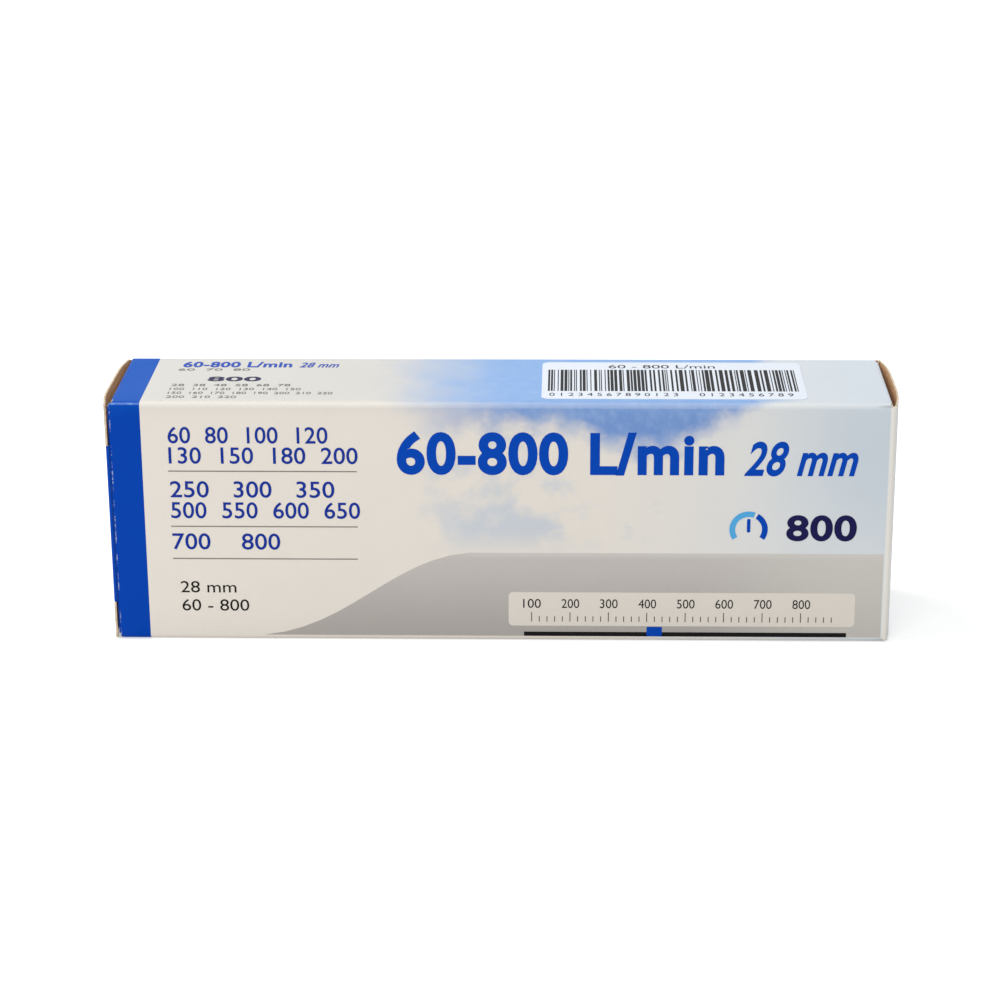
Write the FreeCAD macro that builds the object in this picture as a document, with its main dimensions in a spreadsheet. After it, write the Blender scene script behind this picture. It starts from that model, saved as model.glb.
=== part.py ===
# A boxed peak flow meter: a closed folding carton with the meter, its blow mechanism and
# a folded leaflet inside. X runs along the carton, Y towards its back, Z up, origin at the
# centre of the base. Sizes are in millimetres.
import FreeCAD
import Part
import Sketcher
import math
import os
from FreeCAD import Placement, Rotation, Vector

doc = FreeCAD.newDocument("boxed_peak_flow_meter")
sheet = doc.addObject("Spreadsheet::Sheet", "Sizes")


class Size:
    """A size as its number now and the formula that keeps it bound to the sheet."""

    def __init__(self, number, formula=None):
        self.number = number
        self.formula = formula if formula else f"{number:.9g}"

    def with_other(self, other, sign, number):
        return Size(number, f"({self.formula} {sign} {as_size(other).formula})")

    def __add__(self, other):
        return self.with_other(other, "+", self.number + as_size(other).number)

    def __sub__(self, other):
        return self.with_other(other, "-", self.number - as_size(other).number)

    def __mul__(self, other):
        return self.with_other(other, "*", self.number * as_size(other).number)

    def __truediv__(self, other):
        return self.with_other(other, "/", self.number / as_size(other).number)

    def __neg__(self):
        return Size(-self.number, f"(-1 * {self.formula})")

    def __radd__(self, other):
        return as_size(other) + self

    def __rsub__(self, other):
        return as_size(other) - self

    def __rmul__(self, other):
        return as_size(other) * self


def as_size(value):
    return value if isinstance(value, Size) else Size(value)


# Counts, and what has no size of its own
LEAFLET_PLIES = 4
INLET_SPOKES = 3
GRILLE_SPOKES = 6
CHORDS_PER_TURN = 10  # straight runs in a turn of the spring
WIRE_SIDES = 5
RIB_SHARES = (0.12, 0.5, 0.88)  # saddle ribs along the casing's length
OVERCUT = 1  # how far a cut runs past the face that it opens
NEAR = 1e-4  # two places this close are one

# Driving sizes, one cell of the sheet each
SIZES = {
    # Carton
    "left_room": 13,  # front panel's left end to the mouthpiece
    "right_room": 10,  # casing to the front panel's right end
    "side_room": 3.5,  # casing to the board, front and back
    "top_room": 8.3,  # casing to the board above it
    "board": 0.5,  # thickness of the folding board
    "crease_radius": 1.2,  # outer radius of a folded edge
    "crease_gap": 0.1,  # play between two panels at a crease
    "slip_gap": 0.3,  # play between board faces that slide on each other
    "closure_bow": 2.4,  # how far the left end bulges out
    "closure_spring": 0.7,  # how far the left end's tucked side springs off the carton
    "closure_inset": 0.3,  # closure panel short of the top and base
    "tuck_length": 11.2,  # depth of a tuck flap
    "tuck_inset": 1.2,  # tuck flap short of the top and base
    "tuck_corner": 6,  # corner radius of a tuck flap
    "tuck_tilt": 12,  # lean of a tucked flap off its panel, degrees
    "lock_top": 11.7,  # slit lock at the top end of the tuck crease
    "lock_base": 10,  # slit lock at the base end of the tuck crease
    "dust_length": 15,  # length of a dust flap
    "dust_tuck_gap": 2,  # dust flap's free edge off the tucked panel
    "dust_bevel": 0.6,  # slope of a dust flap's bevelled edge
    "glue_width": 12,  # width of the glue flap
    "glue_inset": 4,  # glue flap short of the panel's ends
    # Barcode label on the top panel
    "label_length": 68,  # label along the carton
    "label_width": 32,  # label across the carton
    "label_centre": 44.5,  # label centre right of the carton's middle
    "label_corner": 2,  # label corner radius
    "label_thick": 0.1,  # label thickness
    # Meter casing
    "rest_gap": 0.3,  # air under the leaflet and under the casing
    "slot_from_left": 35.9,  # casing's left end to the scale slot
    "slot_to_right": 7.2,  # scale slot to the casing's right end
    "casing_height": 52.6,  # casing top to base
    "tube_room": 0.5,  # measuring tube to the casing walls
    "casing_wall": 2,  # casing wall
    "casing_corner": 5,  # corner radius seen from the front
    "casing_round": 2.4,  # rounding of the front and back rims
    "rib_thick": 2,  # saddle rib that carries the tube
    "boss_radius": 3.2,  # screw boss
    "boss_inset": 7.5,  # screw boss from the casing's sides
    "hook_width": 8,  # snap hook, top to base
    "hook_thick": 1.6,  # snap hook along the casing
    "hook_reach": 4.5,  # snap hook beyond the joint line
    "nib_height": 1.5,  # nib of a hook, front to back
    "nib_depth": 1.2,  # nib of a hook into its window
    "screw_radius": 1.3,  # screw shank
    "screw_head": 2.4,  # screw head radius
    "screw_head_deep": 1.8,  # screw head height
    "screw_sunk": 0.7,  # screw head below the back face
    "screw_bite": 9,  # screw length in the front boss
    # Air path
    "tube_shoulder": 1.2,  # measuring tube's radius beyond its inlet spigot
    "tube_wall": 1,  # measuring tube wall
    "spigot_wall": 1.3,  # inlet spigot wall
    "spigot_length": 10,  # inlet spigot beyond the seal
    "mouth_radius": 14,  # mouthpiece, outside
    "mouth_wall": 1.4,  # mouthpiece wall
    "mouth_length": 47.5,  # mouthpiece, end to end
    "mouth_lip": 2.6,  # band at the mouthpiece's tip
    "mouth_step": 0.25,  # height of the band's step and of the seam
    "mouth_seam": 42,  # seam line from the tip
    "mouth_land": 0.75,  # bore beyond the socket, narrower by this
    "push_fit_gap": 0.3,  # mouthpiece on its spigot, and other running gaps
    "seat_gap": 0.05,  # play of a piece pressed into its seat
    "seal_width": 3,  # seal ring along the axis
    "seal_lip": 0.8,  # seal ring proud of the mouthpiece
    "seal_round": 0.75,  # bevel of the seal ring towards the mouthpiece
    # Mechanism
    "slot_height": 3.5,  # scale slot, top to base
    "travel": 79,  # stroke of the piston
    "rod_radius": 1.2,  # guide rod
    "hub_radius": 3,  # hub of the spider and grille
    "spider_thick": 2.4,  # inlet spider along the axis
    "spoke_width": 1.6,  # spokes of the spider and grille
    "rim_width": 1.6,  # rim of the grille
    "grille_thick": 2.4,  # vent grille along the axis
    "disc_thick": 1.6,  # piston disc
    "piston_hub_length": 4,  # piston hub along the axis
    "piston_hub_radius": 2.6,  # piston hub
    "pusher_width": 2.6,  # pusher across the slot
    "pusher_thick": 2,  # pusher along the slot
    "arm_gap": 0.2,  # pusher's tip below the tube's outside
    "pointer_width": 3.8,  # pointer along the slot
    "pointer_height": 7,  # pointer across the slot
    "pointer_thick": 1.4,  # pointer in front of the scale
    "pointer_round": 0.45,  # rounding of the pointer's front edges
    "bumper_radius": 2.3,  # stop bumper
    "spring_radius": 3.4,  # return spring, middle of the wire
    "spring_wire": 0.35,  # return spring, wire radius
    "spring_turns": 9,  # turns of the return spring
    "plate_margin": 4,  # scale plate beyond each end of the slot
    "plate_height": 20,  # scale plate, top to base
    "plate_thick": 0.5,  # scale plate
    "plate_corner": 2,  # scale plate corner radius
    # Leaflet
    "leaflet_length": 118,  # folded leaflet along the carton
    "leaflet_width": 29,  # folded leaflet across the carton
    "leaflet_ply": 0.4,  # one ply of the leaflet
    "leaflet_gap": 0.3,  # air between two plies
    "leaflet_start": 3.5,  # leaflet's left end right of the casing's left end
}


class Sizes:
    """The driving sizes by name, each written to its own cell of the sheet."""


s = Sizes()
for row, (alias, number) in enumerate(SIZES.items(), 1):
    sheet.set(f"A{row}", alias.replace("_", " "))
    sheet.set(f"B{row}", str(number))
    sheet.setAlias(f"B{row}", alias)
    setattr(s, alias, Size(number, f"Sizes.{alias}"))

doc.recompute()

# Sizes that follow: the casing holds the stroke, and the carton fits what it holds
slot_length = s.slip_gap + s.pointer_width + s.travel + s.slip_gap
casing_length = s.slot_from_left + slot_length + s.slot_to_right
spigot_radius = s.mouth_radius - s.mouth_wall - s.push_fit_gap
spigot_bore = spigot_radius - s.spigot_wall
tube_radius = spigot_radius + s.tube_shoulder
tube_bore = tube_radius - s.tube_wall
casing_depth = (tube_radius + s.tube_room + s.casing_wall) * 2
leaflet_pitch = s.leaflet_ply + s.leaflet_gap
leaflet_height = leaflet_pitch * (LEAFLET_PLIES - 1) + s.leaflet_ply
leaflet_base = s.board + s.rest_gap
casing_base = leaflet_base + leaflet_height + s.rest_gap
carton_length = s.left_room + s.mouth_length + s.seal_width + casing_length + s.right_room
carton_depth = (casing_depth / 2 + s.side_room + s.board) * 2
carton_height = casing_base + s.casing_height + s.top_room + s.board

# Places of the board's faces, from the carton's middle
half_length = carton_length / 2
half_depth = carton_depth / 2
inner_depth = half_depth - s.board
inner_top = carton_height - s.board
closure_outer = half_length + s.board
panel_end = half_length - s.crease_gap
dust_outer = half_length - s.slip_gap
dust_inner = dust_outer - s.board
lid_end = dust_inner - s.crease_gap
tuck_face = inner_depth - s.slip_gap + s.crease_gap

# Places along the meter: to the left of the middle, or signed from it
axis_height = casing_base + s.casing_height / 2
half_casing = casing_depth / 2
casing_right = half_length - s.right_room
casing_left = casing_length - casing_right
seal_start = casing_left + s.seal_width
mouth_tip = seal_start + s.mouth_length
spigot_end = seal_start + s.spigot_length
tube_end = casing_right - s.casing_wall
corner_level = s.casing_height / 2 - s.boss_inset
slot_start = s.slot_from_left - casing_left
piston_face = slot_start - s.slip_gap
disc_face = piston_face - s.pusher_thick / 2 + s.disc_thick / 2
grille_face = tube_end - s.grille_thick
spring_start = disc_face + s.seat_gap
spring_end = grille_face - s.seat_gap
bumper_start = disc_face + s.travel + s.slip_gap
plate_left = s.plate_margin - slot_start
plate_length = slot_length + s.plate_margin * 2


def bind(thing, prop, size):
    """Set a property to a size and keep it bound to the sheet."""
    thing.setExpression(prop, as_size(size).formula)


def new_body(name, x=0, y=0, z=0, turn=None):
    """A PartDesign body named as its file, at its place."""
    body = doc.addObject("PartDesign::Body", name)
    body.Label = name
    at = Vector(as_size(x).number, as_size(y).number, as_size(z).number)
    body.Placement = Placement(at, turn if turn else Rotation())
    for prop, size in (("x", x), ("y", y), ("z", z)):
        if isinstance(size, Size):
            bind(body, f"Placement.Base.{prop}", size)
    return body


def sketch_on(body, plane, offset=0):
    """A sketch on one of the body's origin planes, moved along the plane's normal."""
    sketch = body.newObject("Sketcher::SketchObject", body.Name + "_sketch")
    support = next(f for f in body.Origin.OriginFeatures if f.Role == plane + "_Plane")
    sketch.AttachmentSupport = (support, [""])
    sketch.MapMode = "FlatFace"
    away = as_size(offset)
    sketch.AttachmentOffset = Placement(Vector(0, 0, away.number), Rotation())
    bind(sketch, "AttachmentOffset.Base.z", away)
    return sketch


def hold(sketch, kind, size, *where):
    """Add a sketch dimension that is bound to the sheet."""
    size = as_size(size)
    index = sketch.addConstraint(Sketcher.Constraint(kind, *where, size.number))
    bind(sketch, f"Constraints[{index}]", size)


def loop(sketch, corners, bulges=None):
    """A closed outline. bulges gives the rise of the side that starts at a corner."""
    corners = [(as_size(u), as_size(v)) for u, v in corners]
    bulges = bulges or {}
    first = sketch.GeometryCount
    points = [Vector(u.number, v.number, 0) for u, v in corners]
    for i, start in enumerate(points):
        end = points[(i + 1) % len(points)]
        if i in bulges:
            across = (end - start).cross(Vector(0, 0, 1)).normalize()
            middle = (start + end) / 2 + across * bulges[i].number
            sketch.addGeometry(Part.Arc(start, middle, end), False)
        else:
            sketch.addGeometry(Part.LineSegment(start, end), False)
    clockwise = [i in bulges and bulges[i].number < 0 for i in range(len(points))]
    ends = [(2, 1) if flipped else (1, 2) for flipped in clockwise]
    for i in range(len(points)):
        after = (i + 1) % len(points)
        joined = (first + i, ends[i][1], first + after, ends[after][0])
        sketch.addConstraint(Sketcher.Constraint("Coincident", *joined))
    for i, (u, v) in enumerate(corners):
        hold(sketch, "DistanceX", u, -1, 1, first + i, ends[i][0])
        hold(sketch, "DistanceY", v, -1, 1, first + i, ends[i][0])
    for i, rise in bulges.items():
        after = corners[(i + 1) % len(corners)]
        across, up = after[0] - corners[i][0], after[1] - corners[i][1]
        flat = as_size(abs(rise.number) / rise.number)
        radius = flat * ((across * across + up * up) / (8 * rise) + rise / 2)
        hold(sketch, "Radius", radius, first + i)


def rectangle(sketch, u0, v0, u1, v1):
    loop(sketch, [(u0, v0), (u1, v0), (u1, v1), (u0, v1)])


def circle(sketch, u, v, radius):
    """A circle held at its centre and radius."""
    u, v, radius = as_size(u), as_size(v), as_size(radius)
    number = sketch.GeometryCount
    centre = Vector(u.number, v.number, 0)
    sketch.addGeometry(Part.Circle(centre, Vector(0, 0, 1), radius.number), False)
    hold(sketch, "DistanceX", u, -1, 1, number, 3)
    hold(sketch, "DistanceY", v, -1, 1, number, 3)
    hold(sketch, "Radius", radius, number)


def pad(body, sketch, length, back=False):
    """Add material from the sketch along its normal, or against it."""
    feature = body.newObject("PartDesign::Pad", body.Name + "_pad")
    feature.Profile = sketch
    feature.Reversed = back
    feature.Length = as_size(length).number
    bind(feature, "Length", length)
    sketch.Visibility = False
    doc.recompute()
    return feature


def pocket(body, sketch, length, back=False):
    """Take material away along the sketch's normal, or against it with back."""
    before = body.Shape.Volume
    feature = body.newObject("PartDesign::Pocket", body.Name + "_pocket")
    feature.Profile = sketch
    feature.Reversed = not back
    feature.Length = as_size(length).number
    bind(feature, "Length", length)
    doc.recompute()
    if body.Shape.Volume > before - 1e-6:
        raise RuntimeError(f"{feature.Name} cuts nothing")
    return feature


def fillet(body, radius, chosen):
    """Round the edges of the body's last feature for which chosen(edge) is true."""
    names = [f"Edge{i + 1}" for i, e in enumerate(body.Shape.Edges) if chosen(e)]
    base = body.Tip
    feature = body.newObject("PartDesign::Fillet", body.Name + "_fillet")
    feature.Base = (base, names)
    feature.Radius = as_size(radius).number
    bind(feature, "Radius", radius)
    doc.recompute()
    return feature


def revolve(body, corners):
    """A turned piece about the body's X axis from its (x, radius) outline."""
    sketch = sketch_on(body, "XZ")
    loop(sketch, corners)
    feature = body.newObject("PartDesign::Revolution", body.Name + "_turned")
    feature.Profile = sketch
    feature.ReferenceAxis = (sketch, ["H_Axis"])
    feature.Angle = 360
    doc.recompute()
    return feature


def spans(edge, axis):
    """How far an edge runs along one axis."""
    box = edge.BoundBox
    return {"x": box.XLength, "y": box.YLength, "z": box.ZLength}[axis]


def straight_along(edge, axis):
    others = [a for a in "xyz" if a != axis]
    return spans(edge, axis) > NEAR and all(spans(edge, a) < NEAR for a in others)


def at_y(edge, y):
    box = edge.BoundBox
    return abs(box.YMin - y) < NEAR and abs(box.YMax - y) < NEAR


def corner_edges(y, low, high):
    """A test for the four edges along X at y off the middle, at the low or the high level."""

    def chosen(edge):
        box = edge.BoundBox
        level = min(abs(box.ZMin - low.number), abs(box.ZMin - high.number)) < NEAR
        return straight_along(edge, "x") and abs(abs(box.YMin) - y.number) < NEAR and level

    return chosen


def carton_sleeve():
    """Front, top, back and base panel in one board, glued inside along the top."""
    body = new_body("carton_sleeve")
    sketch = sketch_on(body, "YZ", -panel_end)
    rectangle(sketch, -half_depth, 0, half_depth, carton_height)
    rectangle(sketch, -inner_depth, s.board, inner_depth, inner_top)
    pad(body, sketch, panel_end * 2)
    fillet(body, s.crease_radius, corner_edges(half_depth, as_size(0), carton_height))
    fillet(body, s.crease_radius - s.board, corner_edges(inner_depth, s.board, inner_top))
    ends = sketch_on(body, "XY")
    for side in (-1, 1):
        near, far = lid_end * side, (half_length + OVERCUT) * side
        rectangle(ends, near, -inner_depth, far, inner_depth)
    pocket(body, ends, carton_height)
    glue = sketch_on(body, "YZ", -(lid_end - s.glue_inset))
    seam_edge = inner_depth - s.crease_radius
    rectangle(glue, seam_edge - s.glue_width, inner_top - s.board, seam_edge, inner_top)
    pad(body, glue, (lid_end - s.glue_inset) * 2)
    return body


def tuck_stand_off(side):
    """How far a closure's tucked side stands off the carton: the left one has sprung."""
    return s.closure_spring if side == -1 else as_size(0)


def closure_panel(name, side):
    """An end panel, bowed outwards, with a shoulder at each slit lock.

    side is -1 for the left end, hinged at the back, and 1 for the right, hinged at the front.
    The end that hasn't sprung bulges further, so both reach as far out.
    """
    hinge = half_depth * -side
    edge = tuck_face * side
    off = tuck_stand_off(side)
    bow = s.closure_bow + (s.closure_spring - off) / 2
    outer, inner = closure_outer * side, half_length * side
    sprung_outer, sprung_inner = outer + off * side, inner + off * side
    body = new_body(name)
    sketch = sketch_on(body, "XY", s.closure_inset)
    corners = [(outer, hinge), (sprung_outer, edge), (sprung_inner, edge), (inner, hinge)]
    loop(sketch, corners, {0: bow, 2: -bow})
    pad(body, sketch, carton_height - 2 * s.closure_inset)
    shoulder_edge = (half_depth - s.crease_gap / 2) * side
    height = carton_height - s.closure_inset
    for low, high in ((s.closure_inset, s.lock_base), (carton_height - s.lock_top, height)):
        shoulder = sketch_on(body, "XY", low)
        rectangle(shoulder, sprung_inner, edge - s.slip_gap * side, sprung_outer, shoulder_edge)
        pad(body, shoulder, high - low)
    return body


def tuck_flap(name, side):
    """The flap that tucks in behind a panel, leaning off it, with rounded free corners."""
    lean = Rotation(Vector(0, 0, 1), s.tuck_tilt.number)
    body = new_body(name, (dust_outer + tuck_stand_off(side)) * side, tuck_face * side, 0, lean)
    body.setExpression("Placement.Rotation.Angle", f"{s.tuck_tilt.formula} * 1 deg")
    low, high = s.tuck_inset, carton_height - s.tuck_inset
    sketch = sketch_on(body, "XZ")
    rectangle(sketch, 0, low, s.tuck_length * -side, high)
    pad(body, sketch, s.board, back=(side == -1))
    tip = s.tuck_length.number
    local = lean.inverted()
    start = body.Placement.Base

    def at_tip(e):
        middle = local.multVec(e.valueAt((e.FirstParameter + e.LastParameter) / 2) - start)
        length = local.multVec(e.lastVertex().Point - e.firstVertex().Point)
        return abs(abs(middle.x) - tip) < NEAR and abs(abs(length.y) - s.board.number) < NEAR

    fillet(body, s.tuck_corner, at_tip)
    return body


def dust_flap(name, side, top):
    """A dust flap, bevelled beside the closure's hinge and straight beside its tuck."""
    free = (tuck_face - s.dust_tuck_gap) * side
    hinge_edge = (half_depth - s.crease_radius) * -side
    slope = s.dust_length * s.dust_bevel * side
    crease = carton_height if top else as_size(0)
    towards = -1 if top else 1
    body = new_body(name)
    sketch = sketch_on(body, "YZ", dust_inner if side == 1 else -dust_outer)
    shoulder = crease + s.crease_radius * towards
    corners = [
        (free, crease),
        (hinge_edge, crease),
        (hinge_edge, shoulder),
        (hinge_edge + slope, crease + s.dust_length * towards),
        (free, crease + s.dust_length * towards),
    ]
    loop(sketch, corners)
    pad(body, sketch, s.board)
    return body


def barcode_label():
    """A printed sticker with round corners, on the top panel."""
    body = new_body("barcode_label")
    sketch = sketch_on(body, "XY", carton_height)
    half = s.label_length / 2
    rectangle(sketch, s.label_centre - half, -s.label_width / 2, s.label_centre + half, s.label_width / 2)
    pad(body, sketch, s.label_thick)
    fillet(body, s.label_corner, lambda e: straight_along(e, "z"))
    return body


def boss_places():
    """Centres of the two screw bosses at the mouth end, as x and z from the sheet."""
    return [(-casing_left + s.boss_inset, level) for level in (-corner_level, corner_level)]


def rib_places():
    """The saddle ribs' middles along the tube."""
    inside = casing_left + casing_right
    return [inside * share - casing_left for share in RIB_SHARES]


def casing_half(name, side):
    """One half of the casing: shelled, with saddle ribs and screw bosses. side -1 is the front."""
    body = new_body(name, 0, 0, axis_height)
    front = side == -1
    half = s.casing_height / 2
    outline = sketch_on(body, "XZ")
    rectangle(outline, -casing_left, -half, casing_right, half)
    pad(body, outline, half_casing, back=not front)
    fillet(body, s.casing_corner, lambda e: straight_along(e, "y"))
    face = half_casing.number * side
    fillet(body, s.casing_round, lambda e: at_y(e, face))
    hollow = sketch_on(body, "XZ")
    left, right = -casing_left + s.casing_wall, casing_right - s.casing_wall
    rectangle(hollow, left, -half + s.casing_wall, right, half - s.casing_wall)
    pocket(body, hollow, half_casing - s.casing_wall, back=not front)
    for middle in rib_places():
        rib = sketch_on(body, "YZ", middle - s.rib_thick / 2)
        rectangle(rib, 0, -half + s.casing_wall, (half_casing - s.casing_wall) * side, half - s.casing_wall)
        pad(body, rib, s.rib_thick)
    bosses = sketch_on(body, "XZ")
    for x, z in boss_places():
        circle(bosses, x, z, s.boss_radius)
    pad(body, bosses, half_casing - s.casing_wall, back=not front)
    seat = sketch_on(body, "YZ", -casing_left - OVERCUT)
    circle(seat, 0, 0, tube_radius + s.seat_gap)
    pocket(body, seat, tube_end + casing_left + OVERCUT)
    vent = sketch_on(body, "YZ", tube_end - OVERCUT)
    circle(vent, 0, 0, tube_bore - s.rim_width)
    pocket(body, vent, s.casing_wall + 2 * OVERCUT)
    return body


def snap_hooks(body):
    """Two hooks at the vent end that reach past the joint line, each with a nib for its window."""
    outer = tube_end - s.slip_gap
    inner = outer - s.hook_thick
    for middle in (-corner_level, corner_level):
        low, high = middle - s.hook_width / 2, middle + s.hook_width / 2
        root = sketch_on(body, "XZ")
        rectangle(root, inner, low, tube_end, high)
        pad(body, root, half_casing - s.casing_wall)
        arm = sketch_on(body, "XZ")
        rectangle(arm, inner, low, outer, high)
        pad(body, arm, s.hook_reach, back=True)
        nib = sketch_on(body, "XZ", -s.hook_reach)
        rectangle(nib, inner, low, tube_end + s.nib_depth, high)
        pad(body, nib, s.nib_height)


def front_shell():
    """The front casing half, with the scale slot, the plate's recess, screw pilots and hooks."""
    body = casing_half("front_shell", -1)
    snap_hooks(body)
    recess = sketch_on(body, "XZ", half_casing - s.plate_thick)
    rectangle(
        recess,
        -plate_left - s.seat_gap,
        -s.plate_height / 2 - s.seat_gap,
        plate_length - plate_left + s.seat_gap,
        s.plate_height / 2 + s.seat_gap,
    )
    pocket(body, recess, s.plate_thick)
    slot = sketch_on(body, "XZ")
    rectangle(slot, slot_start, -s.slot_height / 2, slot_start + slot_length, s.slot_height / 2)
    pocket(body, slot, half_casing)
    pilots = sketch_on(body, "XZ")
    for x, z in boss_places():
        circle(pilots, x, z, s.screw_radius + s.seat_gap)
    pocket(body, pilots, s.screw_bite + OVERCUT)
    return body


def rear_shell():
    """The rear casing half, with counterbored screw holes and a window for each hook's nib."""
    body = casing_half("rear_shell", 1)
    windows = sketch_on(body, "YZ", tube_end - OVERCUT)
    half = s.hook_width / 2 + s.slip_gap
    window_front, window_back = s.hook_reach - s.nib_height - s.slip_gap, s.hook_reach + s.slip_gap
    for middle in (-corner_level, corner_level):
        rectangle(windows, window_front, middle - half, window_back, middle + half)
    pocket(body, windows, s.casing_wall + 2 * OVERCUT)
    heads = sketch_on(body, "XZ", -(half_casing - s.screw_sunk - s.screw_head_deep))
    shanks = sketch_on(body, "XZ")
    for x, z in boss_places():
        circle(heads, x, z, s.screw_head + s.seat_gap)
        circle(shanks, x, z, s.screw_radius + s.seat_gap)
    pocket(body, heads, s.screw_sunk + s.screw_head_deep + OVERCUT, back=True)
    pocket(body, shanks, half_casing, back=True)
    return body


def measuring_tube():
    """The tube that the piston runs in, with its inlet spigot, flange and slot."""
    body = new_body("measuring_tube", 0, 0, axis_height)
    start = -casing_left
    inner_step = start + s.casing_wall
    spigot_tip = -spigot_end
    revolve(
        body,
        [
            (spigot_tip, spigot_bore),
            (spigot_tip, spigot_radius - s.mouth_step),
            (spigot_tip + s.casing_wall, spigot_radius),
            (start, spigot_radius),
            (start, tube_radius),
            (tube_end, tube_radius),
            (tube_end, tube_bore),
            (inner_step, tube_bore),
            (inner_step, spigot_bore),
        ],
    )
    slot = sketch_on(body, "XZ")
    back = slot_start - s.pusher_thick - 2 * s.slip_gap
    rectangle(slot, back, -s.slot_height / 2, slot_start + slot_length, s.slot_height / 2)
    pocket(body, slot, tube_radius + OVERCUT)
    return body


def mouthpiece():
    """The mouthpiece: a straight tube with a banded tip, a stepped seam and a stepped bore."""
    body = new_body("mouthpiece", 0, 0, axis_height)
    tip, end, seam = -mouth_tip, -seal_start, s.mouth_seam - mouth_tip
    bore = s.mouth_radius - s.mouth_wall
    socket_floor = -spigot_end - s.slip_gap
    narrow = bore - s.mouth_land
    revolve(
        body,
        [
            (tip, narrow),
            (tip, s.mouth_radius - s.mouth_step),
            (tip + s.mouth_lip, s.mouth_radius - s.mouth_step),
            (tip + s.mouth_lip, s.mouth_radius),
            (seam, s.mouth_radius),
            (seam, s.mouth_radius - s.mouth_step),
            (end, s.mouth_radius - s.mouth_step),
            (end, spigot_radius + s.push_fit_gap),
            (socket_floor, spigot_radius + s.push_fit_gap),
            (socket_floor, narrow),
        ],
    )
    return body


def mouthpiece_seal():
    """The rubber ring at the neck, between mouthpiece and casing."""
    body = new_body("mouthpiece_seal", 0, 0, axis_height)
    start, end = -seal_start + s.push_fit_gap, -casing_left
    low, seal_radius = spigot_radius, s.mouth_radius + s.seal_lip
    revolve(
        body,
        [
            (start, low),
            (start, seal_radius - s.seal_round),
            (start + s.seal_round, seal_radius),
            (end, seal_radius),
            (end, low),
        ],
    )
    return body


def spoked_hub(name, start, thick, spokes, rimmed):
    """A hub with the rod's hole, on spokes that reach the tube's bore, alone or in a rim."""
    body = new_body(name, 0, 0, axis_height)
    reach = tube_bore - s.seat_gap
    hub = sketch_on(body, "YZ", start)
    circle(hub, 0, 0, s.hub_radius)
    pad(body, hub, thick)
    inner = s.hub_radius - s.spoke_width / 2
    outer = reach - s.rim_width / 2 if rimmed else reach
    half = s.spoke_width / 2
    for index in range(spokes):
        spoke = sketch_on(body, "YZ", start)
        angle = 2 * math.pi * index / spokes + math.pi / 2
        along = (math.cos(angle), math.sin(angle))
        loop(
            spoke,
            [
                (inner * along[0] - half * along[1], inner * along[1] + half * along[0]),
                (inner * along[0] + half * along[1], inner * along[1] - half * along[0]),
                (outer * along[0] + half * along[1], outer * along[1] - half * along[0]),
                (outer * along[0] - half * along[1], outer * along[1] + half * along[0]),
            ],
        )
        pad(body, spoke, thick)
    if rimmed:
        ring = sketch_on(body, "YZ", start)
        circle(ring, 0, 0, reach)
        circle(ring, 0, 0, reach - s.rim_width)
        pad(body, ring, thick)
    hole = sketch_on(body, "YZ", start - OVERCUT)
    circle(hole, 0, 0, s.rod_radius + s.seat_gap)
    pocket(body, hole, thick + 2 * OVERCUT)
    return body


def guide_rod():
    """The rod on the tube's axis that the piston slides on."""
    body = new_body("guide_rod", 0, 0, axis_height)
    start = -casing_left + s.casing_wall
    sketch = sketch_on(body, "YZ", start)
    circle(sketch, 0, 0, s.rod_radius)
    pad(body, sketch, tube_end - start)
    return body


def piston():
    """The disc with its hub on the rod and the arm that pushes the pointer."""
    body = new_body("piston", 0, 0, axis_height)
    bore = s.rod_radius + s.push_fit_gap
    skirt = tube_bore - s.push_fit_gap
    front, rear = disc_face - s.disc_thick, disc_face
    hub_start = front - s.piston_hub_length
    revolve(
        body,
        [
            (hub_start, bore),
            (hub_start, s.piston_hub_radius),
            (front, s.piston_hub_radius),
            (front, skirt),
            (rear, skirt),
            (rear, bore),
        ],
    )
    arm = sketch_on(body, "YZ", piston_face - s.pusher_thick)
    reach = tube_radius - s.arm_gap
    rectangle(arm, -reach, -s.pusher_width / 2, -(skirt - s.tube_wall * 2), s.pusher_width / 2)
    pad(body, arm, s.pusher_thick)
    return body


def pointer():
    """The slider in front of the scale, with its stem through the slot."""
    body = new_body("pointer", 0, 0, axis_height)
    face = half_casing + s.slip_gap
    start = slot_start + s.slip_gap
    knob = sketch_on(body, "XZ", face)
    rectangle(knob, start, -s.pointer_height / 2, start + s.pointer_width, s.pointer_height / 2)
    pad(body, knob, s.pointer_thick)
    top = (face + s.pointer_thick).number
    fillet(body, s.pointer_round, lambda e: at_y(e, -top))
    reach = tube_bore + s.push_fit_gap
    stem = sketch_on(body, "XZ", reach)
    inset = (s.pointer_width - s.pusher_width) / 2
    rectangle(stem, start + inset, -s.pusher_width / 2, start + s.pointer_width - inset, s.pusher_width / 2)
    pad(body, stem, face - reach)
    return body


def scale_plate():
    """The printed scale in the casing's recess, slotted for the pointer."""
    body = new_body("scale_plate", 0, 0, axis_height)
    sketch = sketch_on(body, "XZ", half_casing - s.plate_thick)
    rectangle(sketch, -plate_left, -s.plate_height / 2, plate_length - plate_left, s.plate_height / 2)
    pad(body, sketch, s.plate_thick)
    slot = sketch_on(body, "XZ", half_casing - s.plate_thick - OVERCUT)
    rectangle(slot, slot_start, -s.slot_height / 2, slot_start + slot_length, s.slot_height / 2)
    pocket(body, slot, s.plate_thick + 2 * OVERCUT)
    return body


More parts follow.
